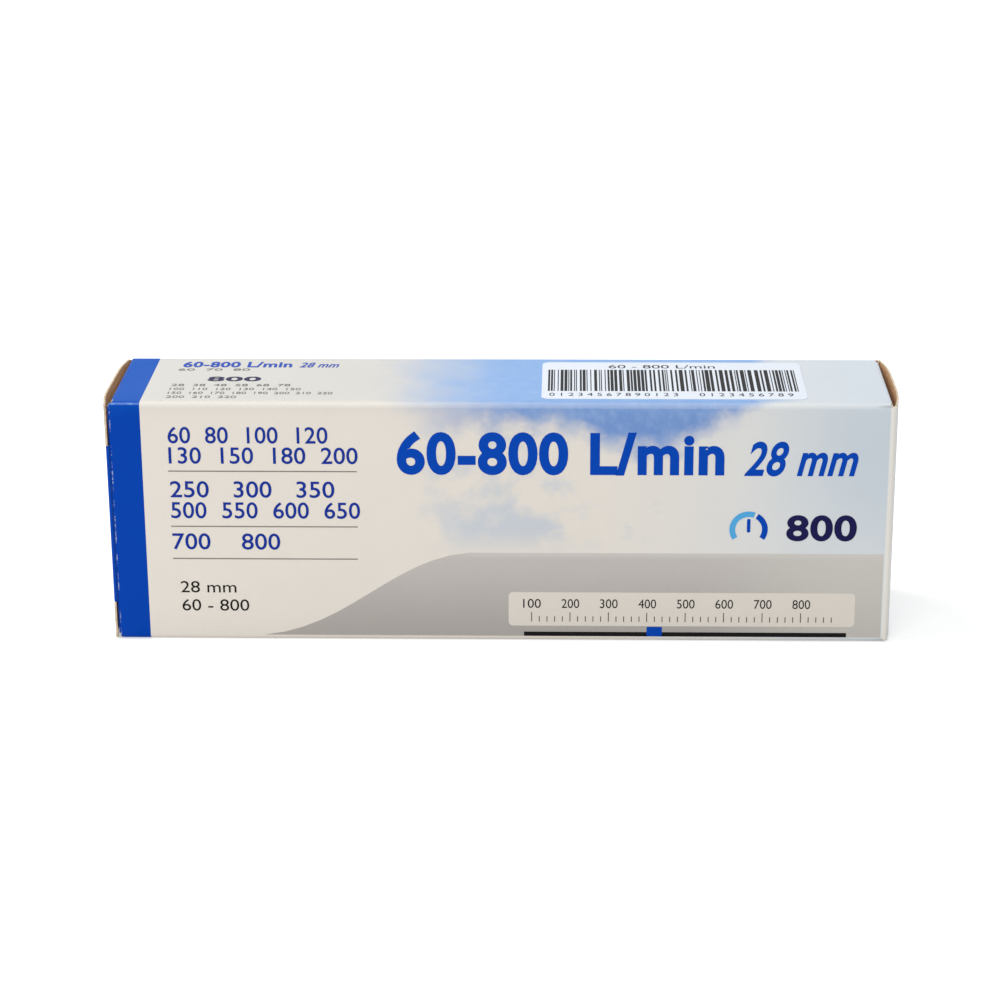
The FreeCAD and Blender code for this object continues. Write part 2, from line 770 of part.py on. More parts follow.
def stop_bumper():
    """The rubber ring that stops the piston at the far end."""
    body = new_body("stop_bumper", 0, 0, axis_height)
    sketch = sketch_on(body, "YZ", bumper_start)
    circle(sketch, 0, 0, s.bumper_radius)
    circle(sketch, 0, 0, s.rod_radius + s.seat_gap)
    pad(body, sketch, grille_face - bumper_start)
    return body


def return_spring():
    """A helical compression spring round the rod, from the piston to the vent grille."""
    length = (spring_end - spring_start - 2 * s.spring_wire).number
    steps = round(s.spring_turns.number * CHORDS_PER_TURN)
    radius, wire = s.spring_radius.number, s.spring_wire.number
    points = []
    for step in range(steps + 1):
        angle = 2 * math.pi * step / CHORDS_PER_TURN
        points.append(Vector(radius * math.cos(angle), radius * math.sin(angle), length * step / steps))
    along = (points[1] - points[0]).normalize()
    across = (Vector(1, 0, 0) - along * along.x).normalize()
    beside = along.cross(across)
    rim = []
    for side in range(WIRE_SIDES + 1):
        angle = 2 * math.pi * side / WIRE_SIDES
        rim.append(points[0] + across * (wire * math.cos(angle)) + beside * (wire * math.sin(angle)))
    mitred = 1
    coil = Part.makePolygon(points).makePipeShell([Part.makePolygon(rim)], True, False, mitred)
    feature = doc.addObject("Part::Feature", "return_spring")
    feature.Label = "return_spring"
    feature.Shape = coil
    start = Vector((spring_start + s.spring_wire).number, 0, axis_height.number)
    feature.Placement = Placement(start, Rotation(Vector(0, 1, 0), 90))
    return feature


def shell_screws():
    """The two screws that hold the casing halves at the mouth end, as one group."""
    members = []
    depth = half_casing - s.screw_sunk - s.screw_head_deep
    for index, (x, z) in enumerate(boss_places()):
        shank = doc.addObject("Part::Cylinder", f"screw_shank_{index}")
        head = doc.addObject("Part::Cylinder", f"screw_head_{index}")
        for piece, radius, height, y in (
            (shank, s.screw_radius, depth + s.screw_bite, -s.screw_bite),
            (head, s.screw_head, s.screw_head_deep, depth),
        ):
            piece.Placement = Placement(Vector(0, 0, 0), Rotation(Vector(1, 0, 0), -90))
            bind(piece, "Radius", radius)
            bind(piece, "Height", height)
            bind(piece, "Placement.Base.x", x)
            bind(piece, "Placement.Base.y", y)
            bind(piece, "Placement.Base.z", z + axis_height)
        screw = doc.addObject("Part::Fuse", f"screw_{index}")
        screw.Base, screw.Tool = shank, head
        screw.Refine = True
        members.append(screw)
    group = doc.addObject("Part::Compound", "shell_screws")
    group.Label = "shell_screws"
    group.Links = members
    doc.recompute()
    return group


def instruction_leaflet():
    """A sheet folded to and fro into plies, lying on the carton's floor under the casing."""
    body = new_body("instruction_leaflet", 0, 0, leaflet_base)
    sketch = sketch_on(body, "YZ", s.leaflet_start - casing_left)
    half = s.leaflet_width / 2
    there, back = [(-half, 0)], [(-half, s.leaflet_ply)]
    for ply in range(LEAFLET_PLIES - 1):
        to_right = ply % 2 == 0
        end = half if to_right else -half
        fold = end - s.leaflet_ply if to_right else end + s.leaflet_ply
        low, high = leaflet_pitch * ply, leaflet_pitch * ply + s.leaflet_ply
        outside = [(end, low), (end, high + leaflet_pitch)]
        inside = [(fold, high), (fold, low + leaflet_pitch)]
        there += outside if to_right else inside
        back += inside if to_right else outside
    last = leaflet_pitch * (LEAFLET_PLIES - 1)
    there.append((-half, last + s.leaflet_ply))
    back.append((-half, last))
    loop(sketch, there + back[::-1])
    pad(body, sketch, s.leaflet_length)
    return body


parts = [
    carton_sleeve(),
    closure_panel("left_closure_panel", -1),
    closure_panel("right_closure_panel", 1),
    tuck_flap("left_tuck_flap", -1),
    tuck_flap("right_tuck_flap", 1),
    dust_flap("left_dust_flap_top", -1, True),
    dust_flap("left_dust_flap_bottom", -1, False),
    dust_flap("right_dust_flap_top", 1, True),
    dust_flap("right_dust_flap_bottom", 1, False),
    barcode_label(),
    front_shell(),
    rear_shell(),
    measuring_tube(),
    mouthpiece(),
    mouthpiece_seal(),
    spoked_hub("inlet_spider", s.casing_wall - casing_left, s.spider_thick, INLET_SPOKES, False),
    spoked_hub("vent_grille", grille_face, s.grille_thick, GRILLE_SPOKES, True),
    guide_rod(),
    piston(),
    pointer(),
    scale_plate(),
    stop_bumper(),
    return_spring(),
    shell_screws(),
    instruction_leaflet(),
]

doc.recompute()
for thing in doc.Objects:
    if "Invalid" in thing.State or "Error" in thing.State:
        raise RuntimeError(f"{thing.Name} failed: {thing.State}")
for part in parts:
    if part.Shape.isNull() or not part.Shape.isValid():
        raise RuntimeError(f"{part.Label} has no valid shape")

os.makedirs("parts", exist_ok=True)
for part in parts:
    part.Shape.exportStep(f"parts/{part.Label}.step")
    box = part.Shape.BoundBox
    lows = f"{box.XMin:.2f} {box.YMin:.2f} {box.ZMin:.2f}"
    highs = f"{box.XMax:.2f} {box.YMax:.2f} {box.ZMax:.2f}"
    print(f"{part.Label}: {lows} to {highs}, {len(part.Shape.Solids)} solids")
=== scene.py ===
# The look of a boxed peak flow meter: a printed folding carton with its label, folds and slit
# locks, and the meter that slides out of its left end. Lengths are metres, as in the frame.
import bpy
import math
import random
from contextlib import contextmanager
from functools import cached_property
from mathutils import Matrix, Vector, noise


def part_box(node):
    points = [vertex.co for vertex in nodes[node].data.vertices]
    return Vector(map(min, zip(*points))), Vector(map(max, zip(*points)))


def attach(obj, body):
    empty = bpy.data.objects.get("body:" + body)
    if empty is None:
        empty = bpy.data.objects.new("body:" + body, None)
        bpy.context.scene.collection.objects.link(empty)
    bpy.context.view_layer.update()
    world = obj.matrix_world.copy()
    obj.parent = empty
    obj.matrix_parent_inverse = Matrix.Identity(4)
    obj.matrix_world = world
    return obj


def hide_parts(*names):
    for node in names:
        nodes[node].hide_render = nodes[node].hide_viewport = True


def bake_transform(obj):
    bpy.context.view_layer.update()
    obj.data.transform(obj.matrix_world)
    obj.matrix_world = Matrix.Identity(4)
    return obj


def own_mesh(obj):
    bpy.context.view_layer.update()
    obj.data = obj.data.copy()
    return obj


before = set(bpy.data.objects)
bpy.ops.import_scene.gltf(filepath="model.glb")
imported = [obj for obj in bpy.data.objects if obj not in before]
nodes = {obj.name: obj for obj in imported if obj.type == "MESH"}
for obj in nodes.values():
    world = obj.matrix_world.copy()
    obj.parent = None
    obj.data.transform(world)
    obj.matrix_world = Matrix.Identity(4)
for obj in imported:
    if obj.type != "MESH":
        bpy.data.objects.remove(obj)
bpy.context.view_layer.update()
MM = 0.001

# Places of the carton's faces, from the frame
sleeve_low, sleeve_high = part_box("carton_sleeve")
label_low, label_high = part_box("barcode_label")
plate_low, plate_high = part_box("scale_plate")
FRONT = sleeve_low.y
BACK = sleeve_high.y
TOP = sleeve_high.z
PANEL_END = sleeve_high.x
BOARD = 0.5 * MM
CREASE_GAP = 0.1 * MM  # play between two panels of the frame at a crease
CLOSURE_OUTER = PANEL_END + CREASE_GAP + BOARD  # outside of a closure at its hinge
SPRUNG = 0.7 * MM  # how far the left closure's tucked side stands off
TUCK_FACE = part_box("right_tuck_flap")[1].y  # outside of a tuck flap at its crease
STROKE = 79 * MM  # travel of the piston and of its pointer
EASED_FLAT = 1.15 * MM  # how much flatter than a plain bow a closure lies in its middle
LOCK_BASE = 10 * MM  # slit lock at the base end of the tuck crease
LOCK_TOP = 11.7 * MM  # slit lock at the top end of the tuck crease
INK = 0.02 * MM  # thickness of a printed layer
FIRST_LAYER = 0.8 * INK  # height of the first printed layer's middle above the board
LAYER_STEP = INK + 0.01 * MM  # from one printed layer to the next
PACKED_WELD = 1e-6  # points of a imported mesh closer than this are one
WELD = 1e-7  # points of a drawn or spun mesh closer than this are one
MEASURING_RANGE = "60-800 L/min"
MOUTHPIECE_SIZE = "28 mm"
BAND_EDGE = -92.0 * MM  # right edge of the blue end band
BAND_BLUE = (0, 66, 172)
# the end band's blue on the top panel, made lighter: a painted sheen
TOP_BAND_SHEEN_BLUE = (0, 84, 182)
TITLE_BLUE = (0, 68, 176)
TEXT_BLUE = (24, 52, 148)
WHITE = (1, 1, 1, 1)
PRINT_SHINE = 0.05  # specular level of coated board and ink
FLOOR_GLOW = 0.42  # added to the floor where it is looked at
WORLD_LEVEL = 0.62  # strength of the world's light on the object


def tint(red, green, blue):
    """A colour from its screen values, made linear."""
    def one(value):
        value /= 255
        return value / 12.92 if value <= 0.04045 else ((value + 0.055) / 1.055) ** 2.4
    return (one(red), one(green), one(blue), 1)


class Wire:
    """A shader socket on which Python's operators work: each adds its Math node."""

    def __init__(self, finish, socket):
        self.finish = finish
        self.socket = socket

    def math(self, operation, *values):
        return self.finish.node("Math", {"operation": operation}, dict(enumerate(values)))

    def __add__(self, other):
        return self.math("ADD", self, other)

    def __radd__(self, other):
        return self.math("ADD", other, self)

    def __sub__(self, other):
        return self.math("SUBTRACT", self, other)

    def __rsub__(self, other):
        return self.math("SUBTRACT", other, self)

    def __mul__(self, other):
        return self.math("MULTIPLY", self, other)

    def __rmul__(self, other):
        return self.math("MULTIPLY", other, self)

    def __pow__(self, other):
        return self.math("POWER", self, other)

    def __abs__(self):
        return self.math("ABSOLUTE", self)

    def __lt__(self, other):
        return self.math("LESS_THAN", self, other)

    def __gt__(self, other):
        return self.math("GREATER_THAN", self, other)


class Finish:
    """A material, or the world, being built, with one method that adds any node."""

    def __init__(self, name, world=None):
        self.owner = world or bpy.data.materials.new(name)
        self.owner.use_nodes = True
        self.tree = self.owner.node_tree
        self.tree.nodes.clear()

    @cached_property
    def object_place(self):
        """Object coordinates, from one node."""
        return self.node("TexCoord", out="Object")

    def node(self, kind, settings=None, values=None, out=0):
        """Add a node: its settings, a ramp's stops among them, then its sockets' values or links."""
        made = self.tree.nodes.new("ShaderNode" + kind)
        for key, value in (settings or {}).items():
            if key == "stops":
                ramp = made.color_ramp
                while len(ramp.elements) < len(value):
                    ramp.elements.new(0.5)
                for element, (position, colour) in zip(ramp.elements, value):
                    element.position = position
                    element.color = colour
            else:
                setattr(made, key, value)
        for key, value in (values or {}).items():
            if isinstance(value, Wire):
                self.tree.links.new(value.socket, made.inputs[key])
            else:
                made.inputs[key].default_value = value
        return Wire(self, made.outputs[out])

    def axes(self):
        """Object coordinates in millimetres, as three wires."""
        parts = [self.node("SeparateXYZ", None, {0: self.object_place}, out=axis) for axis in range(3)]
        return [part * (1 / MM) for part in parts]

    def noise(self, size_mm, detail=2.0, roughness=0.5, stretch=(1, 1, 1), shift=0.0):
        """Noise from 0 to 1 whose features are about size_mm wide, longer where stretch is under 1."""
        place = self.node("Mapping", None, {0: self.object_place, 1: (shift, shift, shift), 3: stretch})
        values = {"Vector": place, "Scale": 1 / (size_mm * MM), "Detail": detail, "Roughness": roughness}
        return self.node("TexNoise", None, values)

    def ease(self, value, start, end, low=0.0, high=1.0):
        """A smooth step: low up to start, high from end on."""
        settings = {"interpolation_type": "SMOOTHSTEP"}
        return self.node("MapRange", settings, {0: value, 1: start, 2: end, 3: low, 4: high})

    def blend(self, share, first, second, way="MIX"):
        """A colour between two: share 0 is first, 1 is second."""
        settings = {"data_type": "RGBA", "blend_type": way, "clamp_result": False}
        return self.node("Mix", settings, {0: share, 6: first, 7: second}, out=2)

    def bumped(self, height, reach_mm, strength=1.0):
        """A normal from a height that runs from 0 to 1 over reach_mm."""
        return self.node("Bump", None, {"Height": height, "Distance": reach_mm * MM, "Strength": strength})

    def done(self, colour, roughness, normal=None, **fixed):
        """Close the material on one Principled shader; fixed values go straight on its sockets."""
        values = {"Base Color": colour, "Roughness": roughness}
        if normal:
            values["Normal"] = normal
        values.update({key.replace("_", " "): value for key, value in fixed.items()})
        self.close(self.node("BsdfPrincipled", None, values))
        return self.owner

    def shown(self):
        """1 for rays of the camera, of reflections and through glass, and 0 for the light on the object."""
        kinds = ("Camera", "Glossy", "Transmission")
        seen, glossy, clear = (self.node("LightPath", out=f"Is {kind} Ray") for kind in kinds)
        return seen.math("MAXIMUM", seen, glossy.math("MAXIMUM", glossy, clear))

    def close(self, shader, kind="OutputMaterial"):
        """End the tree in this shader."""
        end = self.tree.nodes.new("ShaderNode" + kind)
        self.tree.links.new(shader.socket, end.inputs[0])


def printed_board():
    """Coated carton board: cream on the left, a pale sky wash to the right, a blue end band, with painted
    light and shade on the top panel and painted highlights on folds.
    """
    f = Finish("printed board")
    x, y, z = f.axes()
    front, back, top = (place / MM for place in (FRONT, BACK, TOP))
    # The panels rolled out flat, in millimetres: the front, then the top, then the back
    at_back = y > back - 0.7
    unrolled = z + y - front + at_back * (2 * top - z * 2)
    over = f.ease(unrolled, top - 5, top + 5)
    # The top panel's cream darker and greyer than the front's: painted shade, in place of a weaker overhead
    # lamp
    cream = f.blend(over, tint(231, 224, 214), tint(213, 211, 206))
    unprinted = f.blend(f.ease(x, 10.0, 110.0), cream, tint(217, 223, 227))
    # Thin haze low on the front, then the open sky round the top crease with drifting edges
    billows = f.noise(16, 5, 0.55, shift=0.31)
    wisps = f.noise(4, 5, 0.62, shift=0.12)
    drift = (billows - 0.5) * 40 + (wisps - 0.5) * 10
    thin = f.ease(f.noise(20, 5, 0.58, stretch=(0.8, 1, 1), shift=0.83), 0.5, 0.66)
    haze_place = f.ease(x, -32.0, -6.0) * f.ease(x, 40.0, 62.0, 1.0, 0.0) * f.ease(unrolled, 22.0, 32.0)
    coloured = f.blend(thin * haze_place * 0.45, unprinted, tint(160, 187, 216))
    left = f.ease(x + drift * 0.6 + over * 8, -27.0, 12.0)
    right = f.ease(x + drift * 0.5 - over * 12, 54.0, 64.0, 1.0, 0.0)
    dip = f.ease(abs(x - 33), 0.0, 26.0, 5.0, -2.0)
    low = f.ease(unrolled + drift * 0.5 + dip, 54.0, 62.0)
    far = f.ease(unrolled + drift, 108.0, 150.0, 1.0, 0.0)
    # The sky lighter on the top panel than on the front: painted light
    sky = f.blend(over, tint(116, 149, 206), tint(140, 177, 227))
    sky = f.blend(f.ease(wisps, 0.4, 0.75) * 0.35, sky, tint(170, 195, 228))
    coloured = f.blend(left * right * low * far, coloured, sky)
    edge_tint = f.ease(x, 58.0, 99.0) * f.ease(z, 14.0, 50.0)
    coloured = f.blend(edge_tint * 0.55, coloured, f.blend(over, tint(188, 202, 214), tint(204, 216, 227)))
    # A cream strip down the right front fold: a painted highlight
    right_fold_highlight = f.ease(x, 98.9, 99.5) * f.ease(y, -18.4, -17.4, 1.0, 0.0)
    coloured = f.blend(right_fold_highlight * 0.85, coloured, tint(240, 236, 226))
    # Print drawn pale by stretching over the upper front crease, with a painted highlight along it, and
    # worn through on the blue, where the crease line is also partly a painted highlight
    crease = ((y - front) ** 2 + (z - top) ** 2) ** 0.5
    stretched_and_highlit = f.ease(crease + f.noise(3, 2) * 0.3, 1.2, 1.6, 1.0, 0.0)
    coloured = f.blend(stretched_and_highlit * 0.14, coloured, tint(255, 252, 244))
    worn = f.ease(f.noise(1.6, 4, 0.7), 0.5, 0.62)
    highlit_worn_crease_line = f.ease(crease, 0.5, 0.75, 1.0, 0.0)
    end_line = f.ease(x, -99.85, -99.55, 1.0, 0.0) * worn
    # The band lighter on the top panel than on the front: a painted sheen
    band = f.blend(over, tint(*BAND_BLUE), tint(*TOP_BAND_SHEEN_BLUE))
    # A lighter line along the crease on the blue: partly a painted highlight, partly wear
    band = f.blend(highlit_worn_crease_line * (0.3 + worn * 0.3), band, tint(150, 185, 235))
    band = f.blend(end_line * 0.8, band, tint(205, 215, 232))
    coloured = f.blend(x < BAND_EDGE / MM, coloured, band)
    grain = f.noise(0.5, 2)
    mottle = f.noise(12, 3, shift=0.7)
    uneven = (grain - 0.5) * 0.05 + (mottle - 0.5) * 0.05 + 0.03
    coloured = f.blend(uneven, coloured, tint(150, 145, 140), "MULTIPLY")
    rough = 0.42 + (mottle - 0.5) * 0.12 + (grain - 0.5) * 0.08
    tooth = f.bumped(grain * 0.3 + f.noise(2.5, 2), 0.012, 0.5)
    return f.done(coloured, rough, tooth, Specular_IOR_Level=PRINT_SHINE)


def fibre_board(name, light, dark):
    """Uncoated board: long fibres and specks."""
    f = Finish(name)
    fibres = f.noise(1.2, 4, 0.65, stretch=(0.25, 1, 1))
    specks = f.noise(0.35, 2, 0.6)
    colour = f.blend(f.ease(fibres * 0.7 + specks * 0.3, 0.3, 0.7), tint(*dark), tint(*light))
    return f.done(colour, 0.85 + (specks - 0.5) * 0.1, f.bumped(fibres + specks * 0.4, 0.03, 0.8))


def ink(name, colour, roughness=0.32):
    """Printing ink on board, with a faint mottle."""
    f = Finish(name)
    mottle = f.noise(1.5, 3)
    deep = f.blend(f.ease(mottle, 0.3, 0.7) * 0.05, tint(*colour), tint(*[c * 0.8 + 30 for c in colour]))
    tooth = f.bumped(f.noise(2.5, 2), 0.012, 0.5)
    return f.done(deep, roughness + (mottle - 0.5) * 0.1, tooth, Specular_IOR_Level=PRINT_SHINE)


def gauge_grey(name):
    """The printed grey of the gauge: lighter upwards, to the right and along its upper rim."""
    f = Finish(name)
    x, _, z = f.axes()
    height = f.ease(z + f.noise(25, 2) * 3, 3.0, 27.0)
    body = f.blend(height, tint(176, 171, 166), tint(196, 191, 186))
    body = f.blend(f.ease(x, 46.0, 94.0) * 0.55, body, tint(212, 209, 202))
    rim = f.ease(z, 22.5, 24.6) * f.ease(x, -16.0, -4.0)
    body = f.blend(rim * 0.6, body, tint(214, 210, 205))
    grain = f.noise(0.6, 3)
    body = f.blend((grain - 0.5) * 0.08 + 0.04, body, tint(150, 146, 142), "MULTIPLY")
    return f.done(body, 0.42 + (grain - 0.5) * 0.1, f.bumped(f.noise(2.5, 2), 0.012, 0.5),
                  Specular_IOR_Level=PRINT_SHINE)


def paper(name, colour, roughness=0.55):
    """Smooth paper with a fine tooth."""
    f = Finish(name)
    tooth = f.noise(0.4, 3, 0.6)
    cloud = f.noise(6, 3)
    uneven = (tooth - 0.5) * 0.05 + (cloud - 0.5) * 0.05 + 0.03
    shade = f.blend(uneven, tint(*colour), tint(120, 120, 125), "MULTIPLY")
    return f.done(shade, roughness + (cloud - 0.5) * 0.1, f.bumped(tooth + cloud, 0.015, 0.5))


def moulded(name, colour, roughness, grain_mm=0.5, depth_mm=0.012, **fixed):
    """Moulded plastic: a spark-eroded grain and faint flow marks."""
    f = Finish(name)
    grain = f.noise(grain_mm, 3, 0.6)
    flow = f.noise(14, 3, stretch=(0.4, 1, 1))
    colour_here = f.blend(f.ease(flow, 0.3, 0.7) * 0.25, tint(*colour), tint(*[c * 0.93 for c in colour]))
    rough = roughness + (flow - 0.5) * 0.1 + (grain - 0.5) * 0.06
    return f.done(colour_here, rough, f.bumped(grain, depth_mm, 0.7), **fixed)


def steel(name):
    """Drawn steel: fine marks along the wire or rod."""
    f = Finish(name)
    marks = f.noise(0.3, 3, 0.6, stretch=(0.05, 1, 1))
    colour = f.blend(f.ease(marks, 0.3, 0.7), tint(176, 178, 182), tint(205, 206, 209))
    return f.done(colour, 0.28 + (marks - 0.5) * 0.15, f.bumped(marks, 0.004, 0.5), Metallic=1.0)


def rubber(name):
    """Black rubber with a fine matt skin."""
    f = Finish(name)
    skin = f.noise(0.25, 3, 0.6)
    bloom = f.noise(5, 3)
    colour = f.blend(f.ease(bloom, 0.4, 0.8) * 0.5, tint(20, 20, 21), tint(42, 42, 44))
    return f.done(colour, 0.6 + (skin - 0.5) * 0.15, f.bumped(skin, 0.02, 0.6))


PRINT = printed_board()
INSIDE = fibre_board("board inside", (222, 180, 138), (186, 142, 102))
EDGE = fibre_board("board edge", (226, 212, 188), (184, 164, 134))
TITLE_INK = ink("title ink", TITLE_BLUE)
TEXT_INK = ink("text ink", TEXT_BLUE)
NAVY_INK = ink("navy ink", (26, 24, 74))
LIGHT_INK = ink("light blue ink", (84, 168, 222))
BLACK_INK = ink("black ink", (24, 23, 24), 0.4)
GREY_INK = ink("grey ink", (120, 116, 112), 0.45)
PANEL_INK = gauge_grey("gauge grey ink")
CREAM_INK = ink("gauge strip ink", (222, 215, 205))
LABEL = paper("label paper", (226, 233, 243))
LEAFLET = paper("leaflet paper", (240, 239, 234), 0.75)
CASING = moulded("casing plastic", (208, 208, 204), 0.42)
MOUTHPIECE = moulded("mouthpiece plastic", (216, 219, 220), 0.3, 0.8, 0.008)
MECHANISM = moulded("mechanism plastic", (222, 222, 216), 0.38)
POINTER = moulded("pointer plastic", (12, 88, 190), 0.3)
PLATE = moulded("scale plate plastic", (228, 232, 236), 0.35, 0.9, 0.005)
TUBE = moulded("clear tube plastic", (226, 232, 232), 0.12, 1.5, 0.004, Transmission_Weight=0.85, IOR=1.5)
STEEL = steel("drawn steel")
RUBBER = rubber("black rubber")


def bench(piece):
    """Only this piece selected and active."""
    bpy.ops.object.select_all(action="DESELECT")
    piece.select_set(True)
    bpy.context.view_layer.objects.active = piece
    return piece


@contextmanager
def editing(piece):
    """Edit mode with every part of the piece's mesh selected."""
    bench(piece)
    bpy.ops.object.mode_set(mode="EDIT")
    bpy.ops.mesh.select_all(action="SELECT")
    yield
    bpy.ops.object.mode_set(mode="OBJECT")


def settle(piece):
    """Put the piece's place into its mesh."""
    bench(piece)
    bpy.ops.object.transform_apply(location=True, rotation=True, scale=True)
    return piece


def apply(piece, kind, **settings):
    """Add a modifier and apply it."""
    bench(piece)
    made = piece.modifiers.new(kind.lower(), kind)
    for key, value in settings.items():
        setattr(made, key, value)
    bpy.ops.object.modifier_apply(modifier=made.name)


def given(piece, name, body, slot, *materials):
    """Name the piece, give it its materials, and let it ride if a body is named."""
    piece.name = name
    piece.data.name = name
    piece.data.materials.clear()
    for material in materials:
        piece.data.materials.append(material)
    if body:
        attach(piece, body)
    return piece


def joined(pieces):
    """Several pieces as one."""
    bench(pieces[0])
    for piece in pieces:
        piece.select_set(True)
    bpy.ops.object.join()
    return pieces[0]


def dressed(node, name):
    """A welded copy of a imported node, to work on; it stands for that node."""
    piece = nodes[node].copy()
    piece.data = nodes[node].data.copy()
    piece.parent = None
    for key in [k for k in piece.keys() if k.startswith("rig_")]:
        del piece[key]
    bpy.context.scene.collection.objects.link(piece)
    with editing(piece):
        bpy.ops.mesh.remove_doubles(threshold=PACKED_WELD)
    piece.name = name
    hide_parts(node)
    return piece


def sliced(piece, axis, places):
    """Cut a piece across one axis at several places, and keep it whole."""
    normal = [0, 0, 0]
    normal[axis] = 1
    for place in places:
        point = [0, 0, 0]
        point[axis] = place
        with editing(piece):
            bpy.ops.mesh.bisect(plane_co=point, plane_no=normal)


def steps(low, high, count):
    """count places evenly between low and high, without the ends."""
    return [low + (high - low) * (i + 1) / (count + 1) for i in range(count)]


def trimmed(piece, low, high):
    """Cut away all of a piece that lies in the box from low to high."""
    bpy.ops.object.select_all(action="DESELECT")
    low, high = Vector(low), Vector(high)
    bpy.ops.mesh.primitive_cube_add(size=1, location=(low + high) / 2)
    cutter = bpy.context.object
    cutter.scale = high - low
    settle(cutter)
    apply(piece, "BOOLEAN", operation="DIFFERENCE", solver="EXACT", object=cutter)
    bpy.data.objects.remove(cutter)


def moved(piece, shift):
    """Move each point of a piece by shift(point)."""
    for vertex in piece.data.vertices:
        vertex.co += shift(vertex.co.copy())


def paint_faces(piece, choose):
    """Give each face the number of the material that choose(normal, centre) names."""
    for face in piece.data.polygons:
        face.material_index = choose(face.normal, face.center)


def smooth(piece, degrees=35):
    """Shade a piece smooth, apart from edges that turn by more than this."""
    bench(piece)
    bpy.ops.object.shade_smooth_by_angle(angle=math.radians(degrees))


# Printed matter


UPRIGHT = Matrix.Rotation(math.radians(90), 4, "X")
FACES = {
    "front": (UPRIGHT, lambda lift: (0, FRONT - lift, 0)),
    "top": (Matrix.Identity(4), lambda lift: (0, 0, TOP + lift)),
    "label": (Matrix.Identity(4), lambda lift: (0, 0, label_high.z + lift)),
    "plate": (UPRIGHT, lambda lift: (0, plate_low.y - lift, 0)),
}
X_CUTS = steps(-PANEL_END, PANEL_END, 39)
Y_CUTS = steps(FRONT, BACK, 9)
Z_CUTS = steps(0, TOP, 13)


def board_shift(point):
    """How far the board has eased out of flat: out on the front and back, and in on the top."""
    ease_by = 0.1 * MM
    wave = noise.noise(Vector((point.x * 18, point.y * 40, point.z * 30)))
    off_crease = math.sin(math.pi * point.z / TOP) if abs(point.y) > BACK - 2 * BOARD else 0
    off_top = math.cos(math.pi * point.y / (BACK - FRONT)) if point.z > TOP - 2 * BOARD else 0
    side = 1 if point.y > 0 else -1
    return Vector((0, side * ease_by * off_crease * (0.6 + wave), -ease_by * off_top * max(0, 0.5 + wave)))


def laid(piece, face, lift):
    """Turn flat artwork, drawn in u and v, onto a face of the carton."""
    turn, place = FACES[face]
    piece.matrix_world = Matrix.Translation(place(lift)) @ turn
    settle(piece)
    if face in ("front", "top"):
        low = [min(v.co[i] for v in piece.data.vertices) for i in range(3)]
        high = [max(v.co[i] for v in piece.data.vertices) for i in range(3)]
        for axis, cuts in enumerate((X_CUTS, Y_CUTS, Z_CUTS)):
            sliced(piece, axis, [cut for cut in cuts if low[axis] < cut < high[axis]])
        moved(piece, board_shift)
    return piece


def lettering(words, u0, v0, height, width=None, weight=0.0, slant=0.0):
    """Flat figures whose lower left corner is at u0, v0, drawn to a height and, if given, a width."""
    bpy.ops.object.select_all(action="DESELECT")
    bpy.ops.object.text_add()
    piece = bpy.context.object
    piece.data.body = words
    piece.data.offset = weight
    piece.data.space_character = 1 + 2 * weight
    piece.data.shear = slant
    piece.data.extrude = 0.5
    piece.data.resolution_u = 6
    bench(piece)
    bpy.ops.object.convert(target="MESH")
    piece = bpy.context.object
    low = Vector([min(v.co[i] for v in piece.data.vertices) for i in range(3)])
    high = Vector([max(v.co[i] for v in piece.data.vertices) for i in range(3)])
    tall = height / (high.y - low.y)
    wide = width / (high.x - low.x) if width else tall
    piece.scale = (wide, tall, INK)
    piece.location = (u0 - low.x * wide, v0 - low.y * tall, 0)
    settle(piece)
    with editing(piece):
        bpy.ops.mesh.remove_doubles(threshold=WELD)
    return piece


def slab(u0, v0, u1, v1, round_by=0.0):
    """A thin printed rectangle, with round corners if asked."""
    bpy.ops.object.select_all(action="DESELECT")
    bpy.ops.mesh.primitive_cube_add(size=1, location=((u0 + u1) / 2, (v0 + v1) / 2, 0))
    piece = bpy.context.object
    piece.scale = (u1 - u0, v1 - v0, INK)
    settle(piece)
    if round_by:
        with editing(piece):
            bpy.ops.mesh.select_mode(type="EDGE")
            bpy.ops.mesh.select_all(action="DESELECT")
            bpy.ops.object.mode_set(mode="OBJECT")
            for edge in piece.data.edges:
                a, b = (piece.data.vertices[i].co for i in edge.vertices)
                edge.select = abs(a.x - b.x) < 1e-7 and abs(a.y - b.y) < 1e-7
            bpy.ops.object.mode_set(mode="EDIT")
            bpy.ops.mesh.bevel(offset=round_by, segments=6)
    return piece


def outline(points):
    """A thin printed shape from an outline of (u, v) points with smooth sides between them."""
    bpy.ops.object.select_all(action="DESELECT")
    curve = bpy.data.curves.new("outline", "CURVE")
    curve.dimensions = "2D"
    curve.fill_mode = "BOTH"
    curve.extrude = INK / 2
    curve.resolution_u = 12
    spline = curve.splines.new("BEZIER")
    spline.bezier_points.add(len(points) - 1)
    for knot, (u, v, left, right) in zip(spline.bezier_points, points):
        knot.co = (u, v, 0)
        knot.handle_left_type = knot.handle_right_type = "FREE"
        knot.handle_left = (u + left[0], v + left[1], 0)
        knot.handle_right = (u + right[0], v + right[1], 0)
    spline.use_cyclic_u = True
    piece = bpy.data.objects.new("outline", curve)
    bpy.context.scene.collection.objects.link(piece)
    bench(piece)
    bpy.ops.object.convert(target="MESH")
    piece = bpy.context.object
    with editing(piece):
        bpy.ops.mesh.remove_doubles(threshold=WELD)
    return piece


def printed(name, pieces, face, layer, material, body="carton", slot="carton_board"):
    """Join flat artwork, lay it on a face as the given layer of ink, and let it ride."""
    piece = laid(joined(pieces), face, FIRST_LAYER + LAYER_STEP * layer)
    return given(piece, name, body, slot, material)


